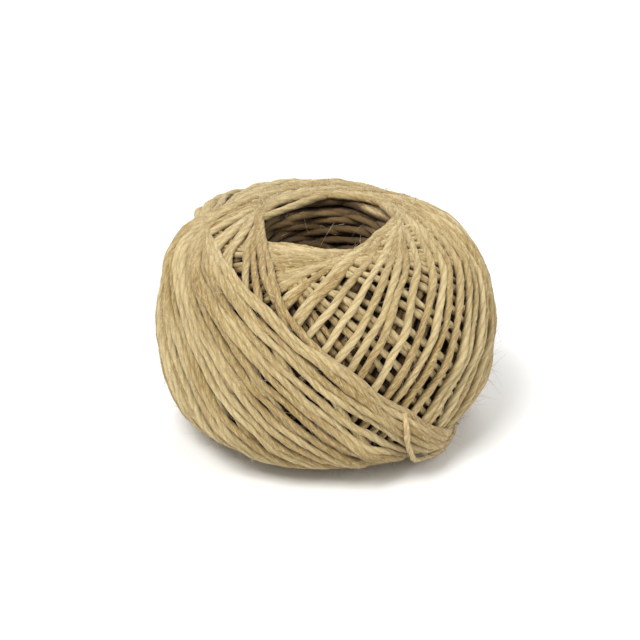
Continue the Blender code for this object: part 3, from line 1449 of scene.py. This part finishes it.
@dataclass
class Fuzz:
    """Loose fibres that stand off the twine.

    Attributes:
        name: the piece's name.
        rng: source of unevenness.
        count: how many fibres.
        length: shortest and longest.
        thickness: radius at the root.
        lift: how steeply they stand off, 0 for flat and 1 for upright.
    """

    name: str
    rng: np.random.Generator
    count: int
    length: tuple[float, float]
    thickness: float = 0.000035
    lift: float = 0.45

    POINTS = 5
    SHAPE = StrandShape(sides=3, lobe_depth=0.0)
    ROOT_SHARE = 0.92       # how far from the strand's centre a fibre starts, over its radius
    SPREAD = 0.8
    CURL = 0.55
    CURL_SHARE = 0.6
    UNEVEN_LIFT = 0.2
    FLATTEST, STEEPEST = 0.05, 1.0
    TIP_TAPER = 0.75
    UNEVEN_TONE = 0.6

    def grow(self, runs: list[Run], centre: np.ndarray, inward: bool = False) -> list[Run]:
        """Works out the fibres.

        Args:
            runs: the runs that they stand on.
            centre: the point that they stand away from.
            inward: True where they stand towards the ball's axis instead.

        Returns:
            One run for each fibre.
        """
        roots = np.concatenate([run.points[1:-1] for run in runs])
        radii = np.concatenate([run.girth[1:-1] for run in runs])
        headings = np.concatenate([unit(run.points[2:] - run.points[:-2]) for run in runs])
        chosen = self.rng.integers(0, len(roots), self.count)
        outward = unit(roots[chosen] - centre)
        if inward:
            outward = -unit(roots[chosen] * np.array([1.0, 1.0, 0.0]))
        heading = headings[chosen] * self.rng.choice([-1.0, 1.0], (self.count, 1))
        aside = unit(np.cross(heading, outward))
        angle = self.rng.normal(0, self.SPREAD, (self.count, 1))
        stand = np.cos(angle) * outward + np.sin(angle) * aside
        root = roots[chosen] + stand * radii[chosen, None] * self.ROOT_SHARE
        length = self.rng.uniform(*self.length, (self.count, 1))
        bend = self.rng.normal(0, self.CURL, (self.count, 3))
        steep = self.rng.normal(self.lift, self.UNEVEN_LIFT, (self.count, 1))
        steep = np.clip(steep, self.FLATTEST, self.STEEPEST)
        course = unit(heading * (1 - steep) + stand * steep)
        shares = np.linspace(0, 1, self.POINTS)
        fibres = []
        for start, way, curl, size in zip(root, course, bend, length[:, 0]):
            curved = (shares ** 2)[:, None] * curl * self.CURL_SHARE
            points = start + size * (shares[:, None] * way + curved)
            points[:, 2] = np.maximum(points[:, 2], LEAST_HEIGHT)
            girth = self.thickness * (1 - self.TIP_TAPER * shares)
            tone = np.full(self.POINTS, self.rng.normal(0, self.UNEVEN_TONE))
            fibres.append(Run(points, girth, shares * size, tone))
        return fibres


@dataclass
class LooseEnd:
    """The free end of the twine, thinner where it has lost a ply, tucked under the belt.

    Attributes:
        rng: source of unevenness.
        diameter: its thickness.
        route: points that it passes, the same as its plain tube's.
    """

    rng: np.random.Generator
    diameter: float = 0.0014
    route: tuple[tuple[float, float, float], ...] = (
        (0.0193, -0.0402, 0.0174),
        (0.0196, -0.0391, 0.0130),
        (0.0207, -0.0361, 0.0085),
        (0.0216, -0.0318, 0.0048),
        (0.0240, -0.0264, 0.0024),
        (0.0274, -0.0212, 0.0012),
        (0.0301, -0.0154, 0.0009),
        (0.0320, -0.0093, 0.0009),
        (0.0331, -0.0030, 0.0009),
    )
    tuck: tuple[float, float, float] = (0.0186, -0.0383, 0.0205)

    SPACING = 0.0007
    CURVE_STEPS = 12
    PLY_PITCH = 0.011
    THICK_AND_THIN = 0.05
    SHAPE = StrandShape(sides=12, plies=2, lobe_depth=0.1)
    TONE = 0.1
    # Painted shade amount below zero, so the end gets no painted shade.
    CLEFT = -0.1
    TAPER, TAPER_LENGTH = 0.35, 0.004
    TIP_SHAPE = StrandShape(sides=4, lobe_depth=0.0)
    TIP_FIBRES = 26
    TIP_POINTS = 6
    TIP_LENGTHS = (0.0015, 0.0042)
    TIP_SPREAD, TIP_CURL = 0.28, 0.35
    TIP_RADIUS = 0.00007
    TIP_TONE = (0.2, 0.5)       # usual tone, and how much it varies

    def centre_line(self) -> np.ndarray:
        """Draws one smooth curve through the route, from where it is tucked in.

        Returns:
            Points a short distance apart.
        """
        knots = np.array((self.tuck,) + self.route)
        padded = np.vstack([2 * knots[0] - knots[1], knots, 2 * knots[-1] - knots[-2]])
        shares = np.linspace(0, 1, self.CURVE_STEPS, endpoint=False)[:, None]
        pieces = []
        for before, start, end, after in zip(padded, padded[1:], padded[2:], padded[3:]):
            pieces.append(0.5 * (2 * start + (end - before) * shares
                                 + (2 * before - 5 * start + 4 * end - after) * shares ** 2
                                 + (3 * start - before - 3 * end + after) * shares ** 3))
        return np.vstack(pieces + [knots[-1:]])

    def frayed_tip(self, tip: np.ndarray, heading: np.ndarray) -> list[Run]:
        """Works out the fibres that fray out of the end.

        Args:
            tip: where the end stops.
            heading: the direction in which it stops.

        Returns:
            One run for each fibre.
        """
        fibres = []
        shares = np.linspace(-0.5, 1, self.TIP_POINTS)
        ahead = np.clip(shares, 0, 1)
        for _ in range(self.TIP_FIBRES):
            size = self.rng.uniform(*self.TIP_LENGTHS)
            way = unit((heading + self.rng.normal(0, self.TIP_SPREAD, 3))[None])[0]
            curl = self.rng.normal(0, self.TIP_CURL, 3)
            points = tip + size * (shares[:, None] * way + (ahead ** 2)[:, None] * curl)
            points[:, 2] = np.maximum(points[:, 2], LEAST_HEIGHT)
            tone = np.full(self.TIP_POINTS, self.rng.normal(*self.TIP_TONE))
            fibres.append(Run(points, self.TIP_RADIUS * (1.15 - ahead), shares * size, tone))
        return fibres

    def build(self) -> tuple[bpy.types.Object, bpy.types.Object]:
        """Returns:
            The end and the tip.
        """
        line = self.centre_line()
        along = length_along(line)
        twine = Twine(radius=self.diameter / 2, ply_pitch=self.PLY_PITCH,
                      thick_and_thin=self.THICK_AND_THIN)
        length = float(along[-1])
        taper = 1 - self.TAPER * smooth_step(length - self.TAPER_LENGTH, length, along)
        girth = twine.uneven_girth(along, self.rng) * taper
        run = Run(line, girth, along, np.full(len(along), self.TONE)).spaced(self.SPACING)
        end = self.SHAPE.body("twine_end", [run], twine)
        set_vertex_values(end, "cleft_shade", np.full(len(end.data.vertices), self.CLEFT))
        heading = unit(run.points[-1:] - run.points[-3:-2])[0]
        tip = self.TIP_SHAPE.body("frayed_tip", self.frayed_tip(run.points[-1], heading), twine)
        log.info("loose end: %.1f mm long", length / MILLIMETRE)
        return end, tip


# ---------------------------------------------------------------------------------------------
# Studio


@dataclass(frozen=True)
class Viewpoint:
    """Where the camera stands.

    Attributes:
        barrel: the ball's form, which it looks at.
        elevation: angle above level, in degrees.
        distance: from the ball's middle.
        lens: focal length in millimetres.
        aside: how far to the right of the ball's middle it aims.
        below: how far below the ball's middle it aims.
    """

    barrel: Barrel
    elevation: float = 24.0
    distance: float = 0.65
    lens: float = 146.0
    aside: float = -0.0013
    below: float = -0.0004

    CLIP_START = 0.01

    def build(self) -> bpy.types.Object:
        """Sets the camera up.

        Returns:
            The camera.
        """
        data = bpy.data.cameras.new("camera")
        data.lens = self.lens
        data.clip_start = self.CLIP_START
        camera = add_object("camera", data)
        angle = math.radians(self.elevation)
        back = Vector((0, -math.cos(angle), math.sin(angle)))
        up = Vector((0, math.sin(angle), math.cos(angle)))
        target = Vector((self.aside, 0, self.barrel.waist_height)) - up * self.below
        camera.location = target + back * self.distance
        camera.rotation_euler = (-back).to_track_quat("-Z", "Y").to_euler()
        bpy.context.scene.camera = camera
        return camera


@dataclass(frozen=True)
class Lamp:
    """One soft light.

    Attributes:
        name: its name.
        place: where it stands.
        size: width of its soft box.
        power: its strength in watts.
        warmth: its colour.
    """

    name: str
    place: tuple[float, float, float]
    size: float
    power: float
    warmth: tuple[float, float, float] = (1.0, 1.0, 1.0)

    def build(self, target: Vector) -> None:
        """Hangs the light.

        Args:
            target: the point that it shines at.
        """
        data = bpy.data.lights.new(self.name, "AREA")
        data.size = self.size
        data.energy = self.power
        data.color = self.warmth
        lamp = add_object(self.name, data)
        lamp.location = self.place
        lamp.rotation_euler = (target - Vector(self.place)).to_track_quat("-Z", "Y").to_euler()


@dataclass(frozen=True)
class Studio:
    """A pale floor and soft light.

    Attributes:
        floor_size: how far the floor reaches.
        floor_finish: what it is painted with.
        sky: brightness of the even light from all round.
        lamps: the lights.
    """

    floor_size: float = 2.4
    floor_finish: PlainFinish = PlainFinish("pale_floor", (0.88, 0.88, 0.87, 1.0))
    sky: float = 0.68
    lamps: tuple[Lamp, ...] = (
        Lamp("key_light", (-0.35, -0.60, 1.00), 0.50, 13.0),
        Lamp("fill_light", (0.85, -0.55, 0.55), 0.7, 3.0),
        Lamp("back_light", (0.1, 0.85, 0.9), 0.7, 4.0),
    )

    def build(self, barrel: Barrel) -> None:
        """Lays the floor and sets the lights.

        Args:
            barrel: the ball's form, which the lights point at.
        """
        shape = bmesh.new()
        bmesh.ops.create_grid(shape, x_segments=1, y_segments=1, size=self.floor_size)
        mesh = bpy.data.meshes.new("floor")
        shape.to_mesh(mesh)
        shape.free()
        floor = add_object("floor", mesh)
        mesh.materials.append(self.floor_finish.material())
        for lamp in self.lamps:
            lamp.build(Vector(barrel.middle))
        world = bpy.data.worlds.new("studio")
        world.use_nodes = True
        background = world.node_tree.nodes["Background"]
        background.inputs["Color"].default_value = (1.0, 1.0, 1.0, 1.0)
        background.inputs["Strength"].default_value = self.sky
        bpy.context.scene.world = world
        bpy.context.scene.view_settings.view_transform = "Standard"


# ---------------------------------------------------------------------------------------------
# Putting it together


def dress(piece: bpy.types.Object, material: bpy.types.Material, slot: Slot, *nodes: str) -> None:
    """Gives a piece its finish, hangs it on the body, and hides the CAD nodes that it replaces.

    Args:
        piece: the piece.
        material: its finish.
        slot: the record's slot; not used.
        nodes: CAD nodes that it replaces.
    """
    piece.data.materials.clear()
    piece.data.materials.append(material)
    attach(piece, BODY)
    if nodes:
        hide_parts(*nodes)
    log.info("piece %s: %d faces", piece.name, len(piece.data.polygons))


def main() -> None:
    """Builds the ball of twine piece by piece."""
    logging.basicConfig(level=logging.INFO, format="%(name)s: %(message)s")
    rng = np.random.default_rng(41)
    barrel = Barrel.from_frame()
    twine = Twine()
    Viewpoint(barrel).build()
    loose_end, frayed_tip = LooseEnd(np.random.default_rng(5)).build()
    end_finish = TwineFinish("jute_end", straw=END_STRAW).material()
    hair_finish = HairFinish("loose_fibres").material()
    dress(loose_end, end_finish, Slot.END, END_NODE)
    dress(frayed_tip, hair_finish, Slot.END)

    wound = WoundBody(barrel, twine, rng)
    wound.build()
    wall = HoleWall(barrel, twine, np.random.default_rng(7))
    hole_turns = wall.build()
    lining = CoreLining(barrel).build()

    outer_runs = [wound.runs[OUTER_SWEEP.name], wound.runs[BELT_SWEEP.name]]
    outer_fuzz = Fuzz("surface_fuzz", np.random.default_rng(11), 7200, (0.0012, 0.0042))
    outer_hairs = outer_fuzz.grow(outer_runs, barrel.middle)
    hole_fuzz = Fuzz("hole_fuzz", np.random.default_rng(13), 320, (0.003, 0.007),
                     thickness=0.00005, lift=0.6)
    hole_hairs = hole_fuzz.grow(wall.runs(), barrel.middle, inward=True)
    fuzz_pieces = [Fuzz.SHAPE.body(outer_fuzz.name, outer_hairs, twine),
                   Fuzz.SHAPE.body(hole_fuzz.name, hole_hairs, twine)]

    wound.shade_clefts(wound.pieces)
    settling = Settling.of(wound.pieces, SETTLED_HEIGHT)
    for piece in wound.pieces + fuzz_pieces + [hole_turns]:
        settling.settle(piece)

    twine_finish = TwineFinish("jute_twine").material()
    dress(wound.pieces[0], twine_finish, Slot.TWINE, BALL_NODE)
    for piece in wound.pieces[1:] + [hole_turns]:
        dress(piece, twine_finish, Slot.TWINE)
    # A sheet of painted shade inside the ball, seen through the gaps.
    dress(lining, CoreFinish("jute_core_shade").material(), Slot.TWINE)
    for piece in fuzz_pieces:
        dress(piece, hair_finish, Slot.TWINE)

    Studio().build(barrel)


if __name__ == "__main__":
    main()
